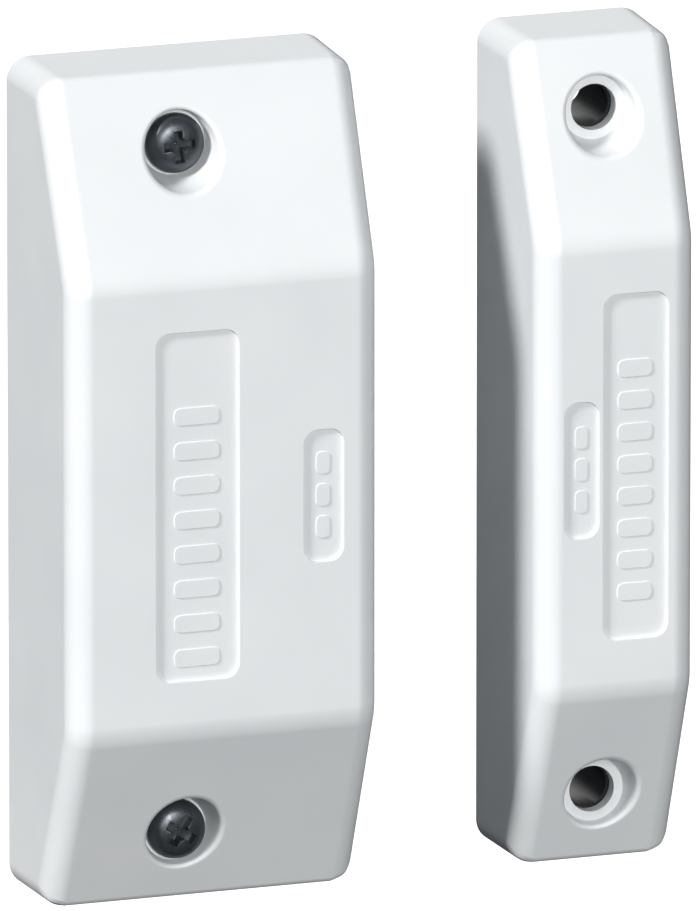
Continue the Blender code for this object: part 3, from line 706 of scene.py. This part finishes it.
switchBase = makeBase("switch_base", wellX, 1.45 * mm, 1.0 * mm)
baseLow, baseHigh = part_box("switch_base")
boardLow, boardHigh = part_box("circuit_board")
boardBack, boardFront = -boardHigh.y, -boardLow.y
boardPosts = [(-9.3 * mm, 18.6 * mm), (9.3 * mm, 18.6 * mm), (-9.3 * mm, -6.4 * mm), (4.0 * mm, -6.4 * mm)]
throughPlate = (-1 * mm, 4 * mm)
for edgeX, inwards in ((baseLow.x, 1), (baseHigh.x, -1)):
    rib = slab("rib", sorted((edgeX, edgeX + inwards * plates["rib"])), (1 * mm, plates["ribTop"]), plates["ribSpan"])
    cutAway(switchBase, rib, "UNION")
for x, z in boardPosts:
    cutAway(switchBase, post("boardPost", plates["postRadius"], x, z, (1 * mm, boardBack - 0.1 * mm), 40), "UNION")
    cutAway(switchBase, post("boardPeg", plates["pegRadius"], x, z, (1 * mm, boardFront + 0.6 * mm), 32,
                             plates["pegRadius"] - 0.06 * mm), "UNION")
entryX, entryZ = plates["cableEntry"]
cutAway(switchBase, roundedTool("cableEntry", entryX, throughPlate, entryZ, 0.6 * mm, 5))
for z in plates["slotMiddles"]:
    cutAway(switchBase, roundedTool("wallSlot", plates["slotWidth"], throughPlate,
                                    (z - plates["slotHalf"], z + plates["slotHalf"]), 1.2 * mm, 8))
softEdges(switchBase, plates["edge"])
finished(switchBase, "switchBasePlate", "switch_unit", "black_abs", blackAbs, "switch_base")

magnetBase = makeBase("magnet_base", magnetX, 1.8 * mm, -1 * mm)
cradle = {"inside": 4.25 * mm, "outside": 5.05 * mm, "top": 6.5 * mm, "from": 6 * mm, "to": 15 * mm,
          "padHalf": 3 * mm, "padTop": 3.4 * mm}
for end in (-1, 1):
    zs = sorted((end * cradle["from"], end * cradle["to"]))
    for side in (-1, 1):
        xs = sorted((magnetX + side * cradle["inside"], magnetX + side * cradle["outside"]))
        cutAway(magnetBase, slab("cheek", xs, (1 * mm, cradle["top"]), zs), "UNION")
    cutAway(magnetBase, slab("pad", (magnetX - cradle["padHalf"], magnetX + cradle["padHalf"]),
                             (1 * mm, cradle["padTop"]), zs), "UNION")
softEdges(magnetBase, plates["edge"])
finished(magnetBase, "magnetBasePlate", "magnet_unit", "black_abs", blackAbs, "magnet_base")
print("base plates made")


# circuit board

terminalPitch = 5.0 * mm
pinX = [way * terminalPitch for way in (-1.5, -0.5, 0.5, 1.5)]
pinZ = -10.8 * mm
reedX = 8.8 * mm
leadZ = (12.4 * mm, -7.4 * mm)
tracks = {
    "width": 0.7 * mm,
    "rise": 0.035 * mm,
    # each runs through these places, as seen from the front
    "routes": [
        [(pinX[0], pinZ), (pinX[0], -7.6 * mm), (-6.4 * mm, -6.0 * mm), (-6.4 * mm, 6.2 * mm)],
        [(pinX[1], pinZ), (pinX[1], 4.4 * mm), (-3.2 * mm, 5.4 * mm)],
        [(pinX[2], pinZ), (pinX[2], -8.6 * mm), (6.0 * mm, -4.4 * mm), (6.0 * mm, 10.8 * mm), (7.6 * mm, 12.4 * mm),
         (reedX, 12.4 * mm)],
        [(pinX[3], pinZ), (pinX[3], -8.7 * mm), (reedX, leadZ[1])],
    ],
}


def trackStrip(start, end, width, hs):
    # a flat strip between two places on the board
    length = (Vector(end) - Vector(start)).length
    strip = slab("strip", (-width / 2, length + width / 2), hs, (-width / 2, width / 2))
    turn = math.atan2(end[1] - start[1], end[0] - start[0])
    strip.data.transform(Matrix.Translation((start[0], 0, start[1])) @ Matrix.Rotation(-turn, 4, "Y"))
    return strip


board = boxSlab("circuit_board")
bevelEdges(board, standsOut, 0.5 * mm, 4)
drill = (boardBack - 0.5 * mm, boardFront + 0.5 * mm)
for route in tracks["routes"]:
    for start, end in zip(route, route[1:]):
        strip = trackStrip(start, end, tracks["width"], (boardFront - 0.05 * mm, boardFront + tracks["rise"]))
        cutAway(board, strip, "UNION")
drillings = [(x, z, 0.95 * mm, 40) for x, z in boardPosts]
drillings += [(x, pinZ, 0.65 * mm, 24) for x in pinX] + [(reedX, z, 0.45 * mm, 24) for z in leadZ]
for x, z, radius, sides in drillings:
    cutAway(board, post("drilling", radius, x, z, drill, sides))
smoothed(board, 30)
finished(board, "circuitBoard", "switch_unit", "board_laminate", greenBoard, "circuit_board")


def solderCone(foot, neck, rise, sides=32):
    # solder drawn up round a wire, hollow for the wire
    outside = [(foot, 0), (foot * 0.82, rise * 0.10), (foot * 0.6, rise * 0.28), (neck * 1.25, rise * 0.62),
               (neck, rise)]
    return turned("solder", outside + [(neck * 0.9, rise), (neck * 0.9, 0)], sides)


def backJoint(x, z, foot, neck, rise):
    joint = solderCone(foot, neck, rise)
    joint.data.transform(Matrix.Translation((x, 0, z)) @ Matrix.Rotation(math.pi, 4, "X")
                         @ Matrix.Translation((0, boardBack, 0)))
    return joint


joints = [backJoint(x, pinZ, 1.0 * mm, 0.42 * mm, 0.55 * mm) for x in pinX]
for z in leadZ:
    joints.append(backJoint(reedX, z, 0.95 * mm, 0.34 * mm, 0.5 * mm))
    pad = solderCone(0.95 * mm, 0.34 * mm, 0.3 * mm)
    pad.data.transform(Matrix.Translation((reedX, -boardFront, z)))
    joints.append(pad)
solder = smoothed(fixNormals(joined(joints)), 40)
finished(solder, "solderJoints", "switch_unit", "tinned_wire", tinnedWire)
print("circuit board made")


# terminal block

terminals = {
    "front": -18.0 * mm, "rear": -9.4 * mm, "bottom": 4.75 * mm, "top": 12.4 * mm, "halfWidth": 10.2 * mm,
    "chamberHalf": 1.7 * mm, "chamberBottom": 5.4 * mm, "chamberEnd": -11.9 * mm,
    "shaftRadius": 1.85 * mm, "screwZ": -14.2 * mm,
    "headRadius": 1.65 * mm, "headTop": 12.25 * mm, "headSeat": 11.2 * mm, "shankRadius": 0.9 * mm, "tip": 8.36 * mm,
    "cageHalf": 1.5 * mm, "cageDepth": 1.6 * mm, "cageBottom": 6.9 * mm, "cageTop": 10.9 * mm,
    "plateHalf": 0.85 * mm, "plateBottom": 7.7 * mm, "plateTop": 8.3 * mm, "plateEnd": -16.8 * mm,
    "legSlotHalf": 1.0 * mm, "legSlot": (-12.4 * mm, -10.3 * mm), "legHalf": 0.3 * mm,
    "pinHalf": 0.35 * mm, "pinTip": 2.7 * mm,
}


def makeTerminalBlock():
    t = terminals
    block = slab("block", (-t["halfWidth"], t["halfWidth"]), (t["bottom"], t["top"]), (t["front"], t["rear"]))
    bevelEdges(block, everyEdge, 0.25 * mm, 3)
    for x in pinX:
        cutAway(block, slab("chamber", (x - t["chamberHalf"], x + t["chamberHalf"]),
                            (t["chamberBottom"], t["cageTop"] + 0.2 * mm), (t["front"] - 1 * mm, t["chamberEnd"])))
        cutAway(block, post("shaft", t["shaftRadius"], x, t["screwZ"],
                            (t["cageTop"] - 1 * mm, t["top"] + 1 * mm), 48))
        cutAway(block, slab("legSlot", (x - t["legSlotHalf"], x + t["legSlotHalf"]),
                            (t["bottom"] - 1 * mm, t["plateTop"] + 0.3 * mm), t["legSlot"]))
    for x in (-terminalPitch, 0, terminalPitch):
        # a shallow groove marks each way off from the next
        cutAway(block, slab("groove", (x - 0.2 * mm, x + 0.2 * mm), (t["top"] - 0.25 * mm, t["top"] + 1 * mm),
                            (t["front"] - 1 * mm, t["rear"] + 1 * mm)))
    softEdges(block, 0.08 * mm)
    return finished(block, "terminalBlock", "switch_unit", "terminal_polyamide", bluePolyamide, "terminal_block")


def makeClampScrew():
    t = terminals
    top, head, seat, shank = t["headTop"], t["headRadius"], t["headSeat"], t["shankRadius"]
    profile = [(0, top), (head - 0.28 * mm, top)] + fillet((head - 0.2 * mm, top - 0.2 * mm), 0.2 * mm, 80, 0, 4)
    profile += [(head, seat + 0.08 * mm), (head - 0.08 * mm, seat), (shank - 0.12 * mm, seat),
                (shank - 0.12 * mm, t["tip"] + 0.2 * mm), (shank - 0.3 * mm, t["tip"]), (0, t["tip"])]
    screw = turned("clampScrew", profile, 48)
    cutAway(screw, crossTool(top, 0.6 * mm, 1.1 * mm, 0.4 * mm, 0.75))
    cutAway(screw, slab("slit", (-1.35 * mm, 1.35 * mm), (top - 0.45 * mm, top + 1 * mm), (-0.16 * mm, 0.16 * mm)))
    first = t["tip"] + 0.5 * mm
    root, half = shank - 0.2 * mm, 0.17 * mm
    thread = coil("thread", [(root, first - half), (shank, first), (root, first + half)], 4, 0.45 * mm, 32)
    return smoothed(joined([screw, thread]), 30)


def makeCage():
    # folded frame: a square ring of strip with a hole for the screw (the drawn collar round it is not built)
    t = terminals
    zs = (t["screwZ"] - t["cageDepth"], t["screwZ"] + t["cageDepth"])
    cage = slab("cage", (-t["cageHalf"], t["cageHalf"]), (t["cageBottom"], t["cageTop"]), zs)
    bevelEdges(cage, runsUp, 0.35 * mm, 4)
    window = slab("window", (-1.0 * mm, 1.0 * mm), (t["cageBottom"] + 0.6 * mm, t["cageTop"] - 0.7 * mm),
                  (zs[0] - 1 * mm, zs[1] + 1 * mm))
    bevelEdges(window, runsUp, 0.2 * mm, 3)
    cutAway(cage, window)
    cutAway(cage, post("thread", 1.0 * mm, 0, t["screwZ"], (t["cageTop"] - 1.2 * mm, t["cageTop"] + 0.5 * mm), 40))
    return softEdges(cage, 0.05 * mm)


def makePlate():
    t = terminals
    half = t["plateHalf"]
    legZ = (pinZ - t["legHalf"], pinZ + t["legHalf"])
    plate = slab("plate", (-half, half), (t["plateBottom"], t["plateTop"]), (t["plateEnd"], legZ[1]))
    leg = slab("leg", (-half, half), (5.1 * mm, t["plateBottom"] + 0.2 * mm), legZ)
    pin = slab("pin", (-t["pinHalf"], t["pinHalf"]), (t["pinTip"], 5.4 * mm), legZ)
    cutAway(plate, leg, "UNION")
    cutAway(plate, pin, "UNION")
    return softEdges(plate, 0.06 * mm)


makeTerminalBlock()
clampScrew, cage, plate = makeClampScrew(), makeCage(), makePlate()
for number, x in enumerate(pinX, 1):
    screwTurn = math.radians(-(20 + 50 * (number - 1)))     # no two slits stand alike
    finished(copied(clampScrew, "clampScrew", (x, 0, terminals["screwZ"]), screwTurn), f"clampScrew{number}",
             f"terminal_screw_{number}", "zinc_steel", zincPlatedSteel, f"terminal_screw_{number}")
    finished(copied(cage, "cage", (x, 0, 0)), f"clampCage{number}", f"clamp_cage_{number}", "zinc_steel",
             zincPlatedSteel, f"clamp_cage_{number}")
    finished(copied(plate, "plate", (x, 0, 0)), f"contactPlate{number}", "switch_unit", "brass_plate",
             stampedBrass, f"terminal_plate_{number}")
for obj in (clampScrew, cage, plate):
    bpy.data.objects.remove(obj, do_unlink=True)
print("terminals made")


# reed switch

reed = {
    "height": 7.2 * mm, "low": -5.0 * mm, "high": 10.0 * mm,
    "outer": 1.15 * mm, "bore": 0.8 * mm, "mouth": 0.38 * mm, "leadRadius": 0.3 * mm,
    "overhang": 2.4 * mm, "bendRadius": 0.9 * mm, "leadTip": 2.8 * mm, "sealed": 1.9 * mm,
}
reedMiddle = (reed["low"] + reed["high"]) / 2


def makeGlass():
    half = (reed["high"] - reed["low"]) / 2
    mouth, outer, bore = reed["mouth"], reed["outer"], reed["bore"]
    shoulder = [(mouth, half - 0.04 * mm), (mouth + 0.06 * mm, half), (0.58 * mm, half - 0.03 * mm),
                (0.78 * mm, half - 0.17 * mm), (0.95 * mm, half - 0.42 * mm), (1.06 * mm, half - 0.7 * mm),
                (1.13 * mm, half - 1.0 * mm), (outer, half - 1.3 * mm)]
    throat = [(mouth, half - 1.5 * mm), (0.5 * mm, half - 1.62 * mm), (0.68 * mm, half - 1.8 * mm),
              (bore, half - 2.1 * mm)]
    profile = shoulder + [(r, -h) for r, h in reversed(shoulder)]
    profile += [(r, -h) for r, h in throat] + [(r, h) for r, h in reversed(throat)]
    glass = turned("glass", profile, 64)
    glass.data.transform(Matrix.Translation((reedX, -reed["height"], reedMiddle))
                         @ Matrix.Rotation(-math.pi / 2, 4, "X"))
    smoothed(glass, 40)
    finished(glass, "reedGlass", "switch_unit", "reed_glass", reedGlass, "reed_glass_tube")


def makeLead(nodeName, end, side):
    bend = end + side * reed["overhang"]
    radius, height = reed["bendRadius"], reed["height"]
    route = [(end - side * reed["sealed"], height)]
    for i in range(9):
        angle = math.radians(90 * i / 8)
        route.append((bend - side * radius * (1 - math.sin(angle)), height - radius * (1 - math.cos(angle))))
    route.append((bend, reed["leadTip"]))
    lead = wire(nodeName, [(reedX, -h, z) for z, h in route], reed["leadRadius"], 5)
    smoothed(lead, 40)
    finished(lead, pieceName(nodeName), "switch_unit", "tinned_wire", tinnedWire, nodeName)


def makeBlade(nodeName):
    blade = boxSlab(nodeName)
    bevelEdges(blade, everyEdge, 0.03 * mm, 2)
    smoothed(blade, 30)
    finished(blade, pieceName(nodeName), nodeName, "tinned_wire", tinnedWire, nodeName)


makeGlass()
makeLead("reed_lead_upper", reed["high"], 1)
makeLead("reed_lead_lower", reed["low"], -1)
makeBlade("reed_blade_upper")
makeBlade("reed_blade_lower")
print("reed switch made")


# tamper switch

tamper = {
    "bodyEdge": 0.3 * mm, "bore": 1.35 * mm, "boreFloor": 5.4 * mm,
    "capRadius": 2.6 * mm, "capThickness": 1.0 * mm, "stemRadius": 1.2 * mm, "stemEnd": 5.6 * mm,
    "coilRadius": 1.75 * mm, "wireRadius": 0.2 * mm, "coilTurns": 4, "coilGap": 0.08 * mm,
}
low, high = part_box("tamper_switch_body")
tamperTop = -low.y
tamperBody = boxSlab("tamper_switch_body")
bevelEdges(tamperBody, everyEdge, tamper["bodyEdge"], 4)
cutAway(tamperBody, post("bore", tamper["bore"], plungerX, plungerZ, (tamper["boreFloor"], tamperTop + 1 * mm), 48))
for side in (-1, 1):
    # seam where the lid of the switch snaps on
    seam = slab("seam", sorted((plungerX + side * 3.0 * mm, plungerX + side * 4 * mm)),
                (tamperTop - 1.2 * mm, tamperTop - 1.05 * mm), (low.z - 1 * mm, high.z + 1 * mm))
    cutAway(tamperBody, seam)
softEdges(tamperBody, 0.05 * mm)
finished(tamperBody, "tamperBody", "switch_unit", "switch_polyamide", blackPolyamide, "tamper_switch_body")

cap = plungerTip - tamper["capThickness"]
profile = [(0, plungerTip), (1.9 * mm, plungerTip)]
profile += fillet((2.2 * mm, plungerTip - 0.4 * mm), 0.4 * mm, 80, 0, 5)
profile += [(tamper["capRadius"], cap + 0.1 * mm), (tamper["capRadius"] - 0.1 * mm, cap), (1.35 * mm, cap),
            (tamper["stemRadius"], cap - 0.15 * mm), (tamper["stemRadius"], 5.9 * mm), (0.9 * mm, tamper["stemEnd"]),
            (0, tamper["stemEnd"])]
plunger = turned("plunger", profile, 64)
plunger.data.transform(Matrix.Translation((plungerX, 0, plungerZ)))
smoothed(plunger, 32)
finished(plunger, "tamperPlunger", "tamper_plunger", "cream_acetal", creamAcetal, "tamper_plunger")

wireRadius = tamper["wireRadius"]
start = tamperTop + wireRadius + tamper["coilGap"]
climb = cap - wireRadius - tamper["coilGap"] - start
section = fillet((tamper["coilRadius"], start), wireRadius, 0, 330, 11)
spring = coil("spring", section, tamper["coilTurns"], climb / tamper["coilTurns"], 48)
spring.data.transform(Matrix.Translation((plungerX, 0, plungerZ)))
smoothed(spring, 45)
finished(spring, "tamperSpring", "switch_unit", "zinc_steel", zincPlatedSteel, "tamper_spring")
print("tamper switch made")


# bar magnet and its strap

barMagnet = boxSlab("bar_magnet")
bevelEdges(barMagnet, everyEdge, 0.4 * mm, 4)
smoothed(barMagnet, 30)
finished(barMagnet, "barMagnet", "magnet_unit", "ferrite", ferrite, "bar_magnet")

strap = {"inside": 4.2 * mm, "outside": 4.8 * mm, "halfLength": 2.5 * mm, "foot": 2.1 * mm,
         "bridgeLow": 9.65 * mm, "bridgeHigh": 10.25 * mm, "bend": 0.75 * mm, "innerBend": 0.18 * mm}


def isBend(edge):
    return runsUp(edge) and max(v.co.y for v in edge.verts) < -8 * mm


retainer = slab("retainer", (magnetX - strap["outside"], magnetX + strap["outside"]),
                (strap["foot"], strap["bridgeHigh"]), (-strap["halfLength"], strap["halfLength"]))
bevelEdges(retainer, isBend, strap["bend"], 6)
opening = slab("opening", (magnetX - strap["inside"], magnetX + strap["inside"]), (0, strap["bridgeLow"]),
               (-4 * mm, 4 * mm))
bevelEdges(opening, isBend, strap["innerBend"], 4)
cutAway(retainer, opening)
softEdges(retainer, 0.06 * mm)
finished(retainer, "magnetStrap", "magnet_unit", "zinc_steel", zincPlatedSteel, "magnet_retainer")
print("magnet and strap made")


# floor, light and camera

studio = {
    "floorDrop": 0.12,             # floor below the object's centre
    # for each light: towards it from the object, its strength, and how many degrees wide it is
    "lights": {
        "frontKey": ((-0.08, -1.0, 0.24), 1.95, 22),
        "sideKey": ((-0.79, -0.25, 0.54), 2.75, 12),
        "backFill": ((0.2, 1.0, 0.35), 0.5, 40),
    },
    "skyAbove": 0.10,
    "skyBelow": 0.045,
    "skyTint": (0.84, 0.92, 1.0, 1),
    "backdrop": 1.05,              # brightness of the white behind the object
}


def makeFloor():
    clearSelection()
    bpy.ops.mesh.primitive_plane_add(size=12, location=(0, 0, -studio["floorDrop"]))
    floor = settle(bpy.context.object)
    floor.name = "floor"
    # matt paper, with a glow of its own so that it stays pale in shadow
    paper = newMaterial("paleFloor", {"Roughness": 0.9, "Base Color": linear("#F4F4F4"),
                                      "Emission Color": (1, 1, 1, 1), "Emission Strength": 0.7})[0]
    floor.data.materials.append(paper)
    floor.visible_diffuse = False
    floor.visible_glossy = False


def makeSun(name, towards, strength, angle):
    light = bpy.data.lights.new(name, "SUN")
    light.energy = strength
    light.angle = math.radians(angle)
    obj = bpy.data.objects.new(name, light)
    bpy.context.scene.collection.objects.link(obj)
    obj.rotation_euler = Vector(towards).to_track_quat("Z", "Y").to_euler()


def makeSky():
    world = bpy.data.worlds.new("studio")
    bpy.context.scene.world = world
    world.use_nodes = True
    tree = world.node_tree
    tree.nodes.clear()
    place = addNode(tree, "ShaderNodeTexCoord").outputs["Generated"]
    split = addNode(tree, "ShaderNodeSeparateXYZ", links={"Vector": place})
    amount = addNode(tree, "ShaderNodeMapRange", {"From Min": -0.5, "From Max": 0.5, "To Min": studio["skyBelow"],
                                                  "To Max": studio["skyAbove"]}, {"Value": split.outputs["Z"]})
    soft = addNode(tree, "ShaderNodeBackground", {"Color": studio["skyTint"]}, {"Strength": amount.outputs["Result"]})
    white = addNode(tree, "ShaderNodeBackground", {"Color": (1, 1, 1, 1), "Strength": studio["backdrop"]})
    seen = addNode(tree, "ShaderNodeLightPath").outputs["Is Camera Ray"]
    mix = addNode(tree, "ShaderNodeMixShader", links={0: seen, 1: soft.outputs[0], 2: white.outputs[0]})
    addNode(tree, "ShaderNodeOutputWorld", links={"Surface": mix.outputs[0]})


def makeCamera():
    view = {
        "azimuth": math.radians(-19.07), "elevation": math.radians(14.63),
        "distance": 1.98, "frameHeight": 74.51 * mm,
        "aim": Vector((14.3 * mm, -8.0 * mm, 0)), "aimRight": -1.11 * mm, "aimUp": 1.05 * mm,
    }
    a, e = view["azimuth"], view["elevation"]
    back = Vector((math.sin(a) * math.cos(e), -math.cos(a) * math.cos(e), math.sin(e)))
    right = Vector((math.cos(a), math.sin(a), 0))
    up = back.cross(right)
    centre = view["aim"] + right * view["aimRight"] + up * view["aimUp"]
    data = bpy.data.cameras.new("camera")
    data.sensor_width = 36
    data.lens = 36 * view["distance"] / view["frameHeight"]
    data.clip_start = 0.05
    data.clip_end = 30
    camera = bpy.data.objects.new("camera", data)
    bpy.context.scene.collection.objects.link(camera)
    camera.location = centre + back * view["distance"]
    camera.rotation_mode = "QUATERNION"
    camera.rotation_quaternion = (-back).to_track_quat("-Z", "Y")
    bpy.context.scene.camera = camera


makeFloor()
makeSky()
for name, (towards, strength, angle) in studio["lights"].items():
    makeSun(name, towards, strength, angle)
makeCamera()
bpy.context.scene.view_settings.view_transform = "Standard"
print("studio set")
